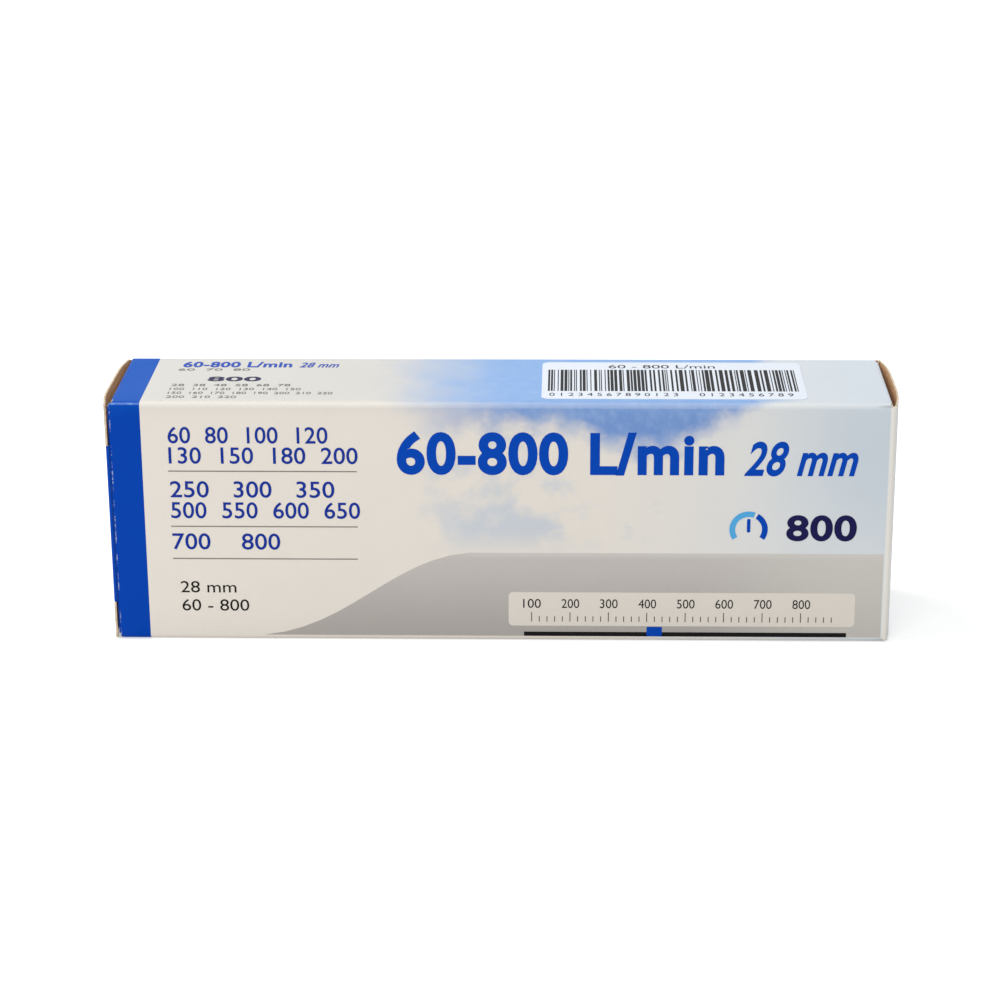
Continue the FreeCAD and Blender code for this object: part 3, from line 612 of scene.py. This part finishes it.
def front_text():
    """Rows of plain dial figures between thin rules, at the left of the front panel.

    A row has its figures, its base line and its width, and a rule its height, start and end.
    """
    rows = [
        ("60  80  100  120", 54.1, 41.0),
        ("130  150  180  200", 48.6, 48.6),
        ("250   300   350", 39.4, 42.4),
        ("500  550  600  650", 33.7, 48.9),
        ("700    800", 25.1, 28.0),
    ]
    row_start, row_height = -85.1 * MM, 4.5 * MM
    lines = [lettering(t, row_start, v * MM, row_height, w * MM, weight=0.008) for t, v, w in rows]
    printed("front_figures", lines, "front", 1, TEXT_INK)
    rules = [(46.6, -85.4, -36.8), (31.5, -85.3, -36.9), (22.6, -85.2, -37.1)]
    rule_weight = 0.13 * MM
    bars = [slab(a * MM, v * MM - rule_weight, b * MM, v * MM + rule_weight) for v, a, b in rules]
    printed("front_rules", bars, "front", 1, GREY_INK)
    small = [
        lettering(MOUTHPIECE_SIZE, -83.5 * MM, 13.1 * MM, 3.2 * MM, 14.5 * MM),
        lettering("60 - 800", -83.3 * MM, 8.0 * MM, 3.2 * MM, 17.5 * MM),
    ]
    printed("front_small_figures", small, "front", 1, BLACK_INK)


def front_title():
    """The measuring range in large bold figures, and the mouthpiece's size in italics."""
    title = lettering(MEASURING_RANGE, -26.5 * MM, 45.8 * MM, 11.8 * MM, 83.8 * MM, weight=0.035)
    size = lettering(MOUTHPIECE_SIZE, 62.4 * MM, 45.7 * MM, 9.4 * MM, 29.0 * MM, weight=0.022, slant=0.3)
    printed("front_title", [title, size], "front", 1, TITLE_INK)


def arc_band(centre, radius, width, start, end, count=24):
    """A flat band along an arc, from the start to the end angle in degrees."""
    bpy.ops.object.select_all(action="DESELECT")
    bpy.ops.mesh.primitive_plane_add(size=1, location=(0, 0, 0))
    piece = bpy.context.object
    piece.scale = (width, INK, 1)
    piece.rotation_euler = (math.radians(90), 0, math.radians(start))
    along = Vector((math.cos(math.radians(start)), math.sin(math.radians(start)), 0))
    piece.location = Vector((centre[0], centre[1], 0)) + along * radius
    settle(piece)
    with editing(piece):
        bpy.ops.mesh.spin(steps=count, angle=math.radians(start - end), center=(*centre, 0), axis=(0, 0, 1))
        bpy.ops.mesh.select_all(action="SELECT")
        bpy.ops.mesh.remove_doubles(threshold=WELD)
        bpy.ops.mesh.normals_make_consistent(inside=False)
    return piece


def front_dial():
    """A small plain dial beside bold figures, where the panel has room at the right."""
    u, v = 63.9 * MM, 31.2 * MM
    radius, width = 4.2 * MM, 1.5 * MM
    printed("dial_arc", [arc_band((u, v), radius, width, 70, 215)], "front", 1, LIGHT_INK)
    needle = slab(u - 0.45 * MM, v - 0.8 * MM, u + 0.45 * MM, v + 2.9 * MM, 0.3 * MM)
    short_arc = arc_band((u, v), radius, width, -35, 60)
    printed("dial_arc_end", [short_arc, needle], "front", 1, TITLE_INK)
    figures = lettering("800", 73.6 * MM, 28.0 * MM, 7.2 * MM, 18.1 * MM, weight=0.03)
    printed("dial_figures", [figures], "front", 1, NAVY_INK)


def front_gauge():
    """A grey gauge along the lower edge: a rising sweep, a scale with figures and a marker."""
    low = 1.3 * MM
    right = PANEL_END - 1.0 * MM
    sweep = [
        (-62 * MM, low, (8 * MM, 0), (22 * MM, 2 * MM)),
        (-8 * MM, 24.5 * MM, (-20 * MM, -1.5 * MM), (8 * MM, 0)),
        (right, 24.5 * MM, (-8 * MM, 0), (0, -6 * MM)),
        (right, low, (0, 6 * MM), (-8 * MM, 0)),
    ]
    printed("gauge_sweep", [outline(sweep)], "front", 0, PANEL_INK)
    strip = slab(2 * MM, 4.2 * MM, 92 * MM, 13.6 * MM, 1.2 * MM)
    printed("gauge_strip", [strip], "front", 1, CREAM_INK)
    scale_start, scale_end = 8 * MM, 86 * MM
    tick_count, long_every = 40, 5
    tick_step = (scale_end - scale_start) / (tick_count - 1)
    ticks, figures = [], []
    for index in range(tick_count):
        u = scale_start + tick_step * index
        tall = 2.6 if index % long_every == 0 else 1.5
        ticks.append(slab(u - 0.1 * MM, 5.4 * MM, u + 0.1 * MM, (5.4 + tall) * MM))
    for index in range(tick_count // long_every):
        u = scale_start + tick_step * long_every * index
        hundreds = str(100 + index * 100)
        figures.append(lettering(hundreds, u - 2.2 * MM, 9.2 * MM, 2.5 * MM, 4.6 * MM))
    printed("gauge_ticks", ticks + figures, "front", 2, BLACK_INK)
    line = slab(scale_start - 2 * MM, low, scale_end + 4 * MM, 2.5 * MM)
    printed("gauge_line", [line], "front", 1, BLACK_INK)
    marker = slab(38 * MM, 1.35 * MM, 42 * MM, 4.0 * MM, 0.3 * MM)
    printed("gauge_marker", [marker], "front", 2, TITLE_INK)


def top_text():
    """Small print on the top panel: the range again, and rows of figures."""
    title = lettering(MEASURING_RANGE, -85.0 * MM, 11.0 * MM, 5.0 * MM, 29 * MM, weight=0.03)
    size = lettering(MOUTHPIECE_SIZE, -54.0 * MM, 11.0 * MM, 4.4 * MM, 10.5 * MM, weight=0.015, slant=0.3)
    printed("top_title", [title, size], "top", 1, TITLE_INK)
    bold = lettering("800", -77.0 * MM, -1.3 * MM, 4.0 * MM, 14 * MM, weight=0.03)
    printed("top_bold", [bold], "top", 1, NAVY_INK)
    rows = [(8.0, 60, 19.0), (-5.6, 28, 31.0), (-9.0, 100, 34.0), (-12.4, 150, 42.5), (-15.8, 200, 18.0)]
    lines = []
    for v, first, width in rows:
        figures = "  ".join(str(first + 10 * i) for i in range(max(3, round(width / 5.5))))
        lines.append(lettering(figures, -85.8 * MM, v * MM, 1.9 * MM, width * MM))
    printed("top_small_figures", lines, "top", 1, GREY_INK)


def label_print():
    """Bars and plain figures on the label."""
    rng = random.Random(7)
    bars, u = [], label_low.x + 1.6 * MM
    module = 0.25 * MM
    while u < label_high.x - 1.8 * MM:
        wide = rng.choice((1, 1, 2, 2, 3, 4)) * module
        bars.append(slab(u, -9.4 * MM, u + wide, 9.2 * MM))
        u += wide + rng.choice((1, 1, 2, 2, 3)) * module
    figures = [
        lettering("0 1 2 3 4 5 6 7 8 9 0 1 2 3", 12.5 * MM, -13.6 * MM, 2.6 * MM, 33 * MM),
        lettering("0 1 2 3 4 5 6 7 8 9", 51 * MM, -13.6 * MM, 2.6 * MM, 24 * MM),
        lettering("60 - 800 L/min", 28 * MM, 10.6 * MM, 3.0 * MM, 28 * MM),
    ]
    printed("label_bars", bars + figures, "label", 0, BLACK_INK, slot="label_paper")


def plate_print():
    """The meter's scale: ticks and figures above the slot, and the unit and the range below it."""
    pointer_low, pointer_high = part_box("pointer")
    zero = (pointer_low.x + pointer_high.x) / 2
    slot_top = (plate_low.z + plate_high.z) / 2 + 1.75 * MM
    lowest, highest = 60, 800
    ticks, figures = [], []
    for value in range(lowest, highest + 1, 10):
        u = zero + STROKE * (value - lowest) / (highest - lowest)
        tall = 2.0 if value % 100 == 0 else 1.4 if value % 50 == 0 else 0.9
        ticks.append(slab(u - 0.09 * MM, slot_top + 0.7 * MM, u + 0.09 * MM, slot_top + (0.7 + tall) * MM))
        if value % 100 == 0:
            figures.append(lettering(str(value), u - 2.1 * MM, slot_top + 3.4 * MM, 2.1 * MM, 4.2 * MM))
    low_line = plate_low.z + 2.6 * MM
    figures.append(lettering("L/min", plate_high.x - 14 * MM, low_line, 2.8 * MM, weight=0.015))
    figures.append(lettering("60 - 800", plate_low.x + 4 * MM, low_line, 2.8 * MM, weight=0.015))
    printed("scale_print", ticks + figures, "plate", 0, BLACK_INK, body="meter", slot="scale_print")
    edge = slab(zero - 3 * MM, plate_low.z + 1.0 * MM, zero + STROKE + 2 * MM, plate_low.z + 1.5 * MM)
    printed("scale_rule", [edge], "plate", 0, TITLE_INK, body="meter", slot="scale_print")


front_text()
front_title()
front_dial()
front_gauge()
top_text()
label_print()
plate_print()


# Carton board


def board_faces(outward):
    """Material numbers for a board: 0 printed, 1 inside, 2 raw edge, by the way a face looks."""
    def choose(normal, centre):
        side = normal.dot(Vector(outward))
        return 0 if side > 0.6 else 1 if side < -0.6 else 2
    return choose


FOLD = 1.2 * MM  # outer radius of a closure's fold
TUCK_FOLD = 0.74 * MM  # outer radius of a tuck's fold
DUST_FOLD = 0.7 * MM  # outer radius of a dust flap's fold
CLOSURE_LEAN = math.radians(14.8)  # the bowed closure's slope at its hinge
TUCK_END_LEAN = math.radians(14.4)  # the bowed closure's slope at its tuck
TUCK_LEAN = math.radians(12)  # the tucked flap's lean off its panel


class Fold:
    """A rounded crease where two outer faces meet at a corner, in a plane across the crease."""

    def __init__(self, corner, first, second, radius):
        self.corner, first, second = Vector(corner), Vector(first), Vector(second)
        half = first.angle(second) / 2
        reach = radius / math.tan(half)
        self.start = self.corner + first * reach
        self.end = self.corner + second * reach
        middle = (first + second).normalized()
        self.centre = self.corner + middle * (radius / math.sin(half))
        self.radius = radius
        self.turn = math.pi - 2 * half
        out = self.start - self.centre
        self.from_angle = math.atan2(out.y, out.x)
        self.way = 1 if out.x * (self.end - self.centre).y - out.y * (self.end - self.centre).x > 0 else -1


CLOSURE_FOLD = Fold(
    (CLOSURE_OUTER, FRONT), (-1, 0), (math.sin(CLOSURE_LEAN), math.cos(CLOSURE_LEAN)), FOLD)


def tuck_crease(stand_off):
    """The fold between a closure and its tuck, the closure standing off the carton by this."""
    corner = (CLOSURE_OUTER + stand_off - 0.02 * MM, TUCK_FACE + 0.16 * MM)
    closure_way = (math.sin(TUCK_END_LEAN), -math.cos(TUCK_END_LEAN))
    return Fold(corner, closure_way, (-math.cos(TUCK_LEAN), -math.sin(TUCK_LEAN)), TUCK_FOLD)


DUST_CREASE = Fold((PANEL_END - 0.2 * MM, TOP), (-1, 0), (0, -1), DUST_FOLD)


def strip(fold, name, bodies, low, high, flip, upright, outside):
    """The board round a fold: its section spun about the crease, then set at one of the ends.

    flip turns the strip half round the carton's middle, or over from top to base.
    """
    bpy.ops.object.select_all(action="DESELECT")
    bpy.ops.mesh.primitive_plane_add(size=1, location=(0, 0, 0))
    piece = bpy.context.object
    piece.scale = (BOARD, high - low, 1)
    piece.rotation_euler = (math.radians(90), 0, fold.from_angle)
    away = Vector((math.cos(fold.from_angle), math.sin(fold.from_angle)))
    middle = fold.centre + away * (fold.radius - BOARD / 2)
    piece.location = (middle.x, middle.y, (low + high) / 2)
    settle(piece)
    with editing(piece):
        bpy.ops.mesh.spin(steps=10, angle=-fold.way * fold.turn, center=(*fold.centre, 0), axis=(0, 0, 1))
        bpy.ops.mesh.select_all(action="SELECT")
        bpy.ops.mesh.remove_doubles(threshold=WELD)
        bpy.ops.mesh.normals_make_consistent(inside=False)
    to_xz = Matrix(((1, 0, 0, 0), (0, 0, 1, 0), (0, 1, 0, 0), (0, 0, 0, 1)))
    turn = flip if upright else flip @ to_xz
    piece.matrix_world = turn
    settle(piece)
    with editing(piece):
        bpy.ops.mesh.normals_make_consistent(inside=False)
    given(piece, name, None, "carton_board", outside, INSIDE, EDGE)
    ends = [turn @ Vector((*place, (low + high) / 2)) for place in (fold.start, fold.end)]
    centre = turn @ Vector((*fold.centre, (low + high) / 2))
    long_axis = 2 if upright else 1

    def choose(normal, middle_of_face):
        if abs(normal[long_axis]) > 0.9:
            return 2
        out = middle_of_face - centre
        out[long_axis] = 0
        return 0 if normal.dot(out) > 0 else 1

    paint_faces(piece, choose)
    smooth(piece)
    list(bodies)
    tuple(ends[0])
    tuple(ends[1])
    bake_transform(piece)


def sleeve():
    """The four panels: cut up finely, eased out of flat, print outside and fibre inside."""
    piece = dressed("carton_sleeve", "sleeve_board")
    beyond = 2 * MM
    edge = CLOSURE_FOLD.start.x
    trimmed(piece, (edge, FRONT - beyond, -beyond), (edge + beyond, FRONT + 1.5 * BOARD, TOP + beyond))
    trimmed(piece, (-edge - beyond, BACK - 1.5 * BOARD, -beyond), (-edge, BACK + beyond, TOP + beyond))
    edge = DUST_CREASE.start.x
    for side in (-1, 1):
        low, high = sorted((edge * side, (edge + beyond) * side))
        for level in (0, TOP):
            near = (low, FRONT + FOLD, level - 1.5 * BOARD)
            trimmed(piece, near, (high, BACK - FOLD, level + 1.5 * BOARD))
    sliced(piece, 0, X_CUTS)
    sliced(piece, 1, Y_CUTS)
    sliced(piece, 2, Z_CUTS)
    moved(piece, board_shift)

    def choose(normal, centre):
        if abs(normal.x) > 0.7:
            return 2
        outwards = Vector((0, centre.y / BACK, 2 * centre.z / TOP - 1))
        return 0 if normal.dot(outwards) > 0 else 1

    given(piece, "sleeve_board", "carton", "carton_board", PRINT, INSIDE, EDGE)
    paint_faces(piece, choose)
    smooth(piece)


def flatter(point):
    """How far a closure lies inside a plain bow at a point: most in its middle, nothing at its folds."""
    inward = -1 if point.x > 0 else 1
    return Vector((inward * EASED_FLAT * math.cos(math.pi / 2 * point.y / BACK) ** 2, 0, 0))


def end_board(node, name, body, outward, outside, *trims):
    """A closure, tuck or dust flap: its own finish outside, fibre inside, cut back to its folds."""
    piece = dressed(node, name)
    for low, high in trims:
        trimmed(piece, low, high)
    if node.endswith("closure_panel"):
        with editing(piece):
            bpy.ops.mesh.dissolve_limited(angle_limit=math.radians(0.3))
        sliced(piece, 1, Y_CUTS)
        moved(piece, flatter)
    given(piece, name, body, "carton_board", outside, INSIDE, EDGE)
    paint_faces(piece, board_faces(outward))
    smooth(piece)
    return piece


CLOSURE_BLUE = ink("closure blue", BAND_BLUE, 0.36)
WHITE_BOARD = paper("white board", (228, 226, 220), 0.5)
UNTURNED = Matrix.Identity(4)
HALF_ROUND = Matrix.Rotation(math.pi, 4, "Z")
TO_BASE = Matrix.Translation((0, 0, TOP)) @ Matrix.Diagonal((1, 1, -1, 1))
PAST = 4 * MM  # how far a cutting box reaches past the board


def closure(end, side, turn, outside, tuck_outside):
    """A closure and its tuck flap, with the folds at the hinge and between the two."""
    crease = tuck_crease(SPRUNG if end == "left" else 0)
    near, far = CLOSURE_OUTER - PAST, CLOSURE_OUTER + PAST
    boxes = (
        ((near, FRONT - PAST, -PAST), (far, CLOSURE_FOLD.end.y, TOP + PAST)),
        ((near, crease.start.y, LOCK_BASE), (far, BACK + PAST, TOP - LOCK_TOP)),
    )
    trims = []
    for corners in boxes:
        placed = [turn @ Vector(corner) for corner in corners]
        trims.append([[pick(a, b) for a, b in zip(*placed)] for pick in (min, max)])
    body, tuck = f"{end}_closure", f"{end}_tuck"
    end_board(f"{end}_closure_panel", f"{end}_closure_board", body, (side, 0, 0), outside, *trims)
    end_board(f"{end}_tuck_flap", f"{end}_tuck_board", tuck, (0, side, 0), tuck_outside)
    panel_low, panel_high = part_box("right_closure_panel")
    inset = 0.3 * MM
    strip(CLOSURE_FOLD, f"{end}_closure_fold", ("carton", body),
          panel_low.z + inset, panel_high.z - inset, turn, True, outside)
    inset = 0.1 * MM
    strip(crease, f"{end}_tuck_fold", (body, tuck),
          LOCK_BASE + inset, TOP - LOCK_TOP - inset, turn, True, outside)


def dust_flaps(end, side, turn):
    """The dust flaps at the top and base of one end, each with its fold."""
    fold_line = DUST_CREASE.end.y
    for level, over in (("top", UNTURNED), ("bottom", TO_BASE)):
        flap, body = f"{end}_dust_flap_{level}", f"{end}_dust_{level}"
        low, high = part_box(flap)
        cut = (fold_line, TOP + PAST) if level == "top" else (-PAST, TOP - fold_line)
        trim = [(low.x - PAST, low.y - PAST, cut[0]), (high.x + PAST, high.y + PAST, cut[1])]
        end_board(flap, f"{end}_dust_board_{level}", body, (side, 0, 0), WHITE_BOARD, trim)
        span = sorted((low.y * side, high.y * side))
        strip(DUST_CREASE, f"{end}_dust_fold_{level}", ("carton", body), *span, over @ turn, False, PRINT)


sleeve()
closure("left", -1, HALF_ROUND, CLOSURE_BLUE, CLOSURE_BLUE)
dust_flaps("left", -1, HALF_ROUND)
closure("right", 1, UNTURNED, PRINT, WHITE_BOARD)
dust_flaps("right", 1, UNTURNED)


def screws():
    """The casing screws, with a cross recess cut in each head."""
    piece = dressed("shell_screws", "casing_screws")
    low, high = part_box("shell_screws")
    across = (low.x + high.x) / 2
    head, deep, long_arm, short_arm = 2.4 * MM, 1.0 * MM, 1.5 * MM, 0.3 * MM
    for level in (low.z + head, high.z - head):
        for wide, tall in ((long_arm, short_arm), (short_arm, long_arm)):
            near = (across - wide, high.y - deep, level - tall)
            trimmed(piece, near, (across + wide, high.y + deep, level + tall))
    given(piece, "casing_screws", "meter", "steel", STEEL)
    smooth(piece)


def spring():
    """The return spring, which the piston presses together over its stroke; this piece keeps one shape and
    rides with the meter.
    """
    piece = dressed("return_spring", "piston_spring")
    given(piece, "piston_spring", "meter", "steel", STEEL)
    smooth(piece)
    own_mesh(piece)


screws()
spring()

NODE_FINISH = {
    "barcode_label": LABEL,
    "front_shell": CASING,
    "rear_shell": CASING,
    "measuring_tube": TUBE,
    "mouthpiece": MOUTHPIECE,
    "mouthpiece_seal": RUBBER,
    "inlet_spider": MECHANISM,
    "vent_grille": MECHANISM,
    "guide_rod": STEEL,
    "piston": MECHANISM,
    "pointer": POINTER,
    "scale_plate": PLATE,
    "stop_bumper": RUBBER,
    "instruction_leaflet": LEAFLET,
}
for node, material in NODE_FINISH.items():
    nodes[node].data.materials.clear()
    nodes[node].data.materials.append(material)


# Room, light and camera


def room():
    """A plain pale floor and a white world: both look white and light the object at a plain level."""
    bpy.ops.object.select_all(action="DESELECT")
    bpy.ops.mesh.primitive_plane_add(size=8, location=(0, 0, -0.05 * MM))
    floor = bpy.context.object
    floor.name = "floor"
    f = Finish("floor")
    matt = f.node("BsdfDiffuse", None, {"Color": tint(235, 235, 235)})
    glow = f.node("Emission", None, {"Color": WHITE, "Strength": f.shown() * FLOOR_GLOW})
    f.close(f.node("AddShader", None, {0: matt, 1: glow}))
    floor.data.materials.append(f.owner)
    f = Finish("studio", bpy.data.worlds.new("studio"))
    strength = f.shown() * (1 - WORLD_LEVEL) + WORLD_LEVEL
    f.close(f.node("Background", None, {"Color": WHITE, "Strength": strength}), "OutputWorld")
    bpy.context.scene.world = f.owner


def softbox(name, place, aim, size, power):
    """A square area lamp at a place, which looks at aim."""
    lamp = bpy.data.lights.new(name, "AREA")
    lamp.size = size
    lamp.energy = power
    piece = bpy.data.objects.new(name, lamp)
    piece.location = place
    piece.rotation_euler = (Vector(aim) - Vector(place)).to_track_quat("-Z", "Y").to_euler()
    bpy.context.scene.collection.objects.link(piece)


def camera():
    """The photograph's view: above the front, a little right of the middle."""
    place = Vector((18.2, -688.6, 279.0)) * MM
    yaw, pitch, roll = (math.radians(a) for a in (-1.567, 19.738, -0.321))
    ahead = Vector((math.sin(yaw) * math.cos(pitch), math.cos(yaw) * math.cos(pitch), -math.sin(pitch)))
    right = Vector((math.cos(yaw), -math.sin(yaw), 0))
    up = right.cross(ahead)
    right, up = right * math.cos(roll) + up * math.sin(roll), up * math.cos(roll) - right * math.sin(roll)
    data = bpy.data.cameras.new("camera")
    data.sensor_width = 36
    data.lens = 99.47
    data.clip_start = 0.01
    piece = bpy.data.objects.new("camera", data)
    axes = Matrix((right, up, -ahead)).transposed()
    piece.matrix_world = Matrix.Translation(place) @ axes.to_4x4()
    bpy.context.scene.collection.objects.link(piece)
    bpy.context.scene.camera = piece


room()
MIDDLE = (0, 0, 30 * MM)  # about the middle of the carton
softbox("overhead", (-0.5, 0.1, 0.9), MIDDLE, 0.6, 5.2)
softbox("front_fill", (-0.35, -0.95, 0.55), MIDDLE, 0.7, 3.2)
camera()
bpy.context.scene.view_settings.view_transform = "Standard"
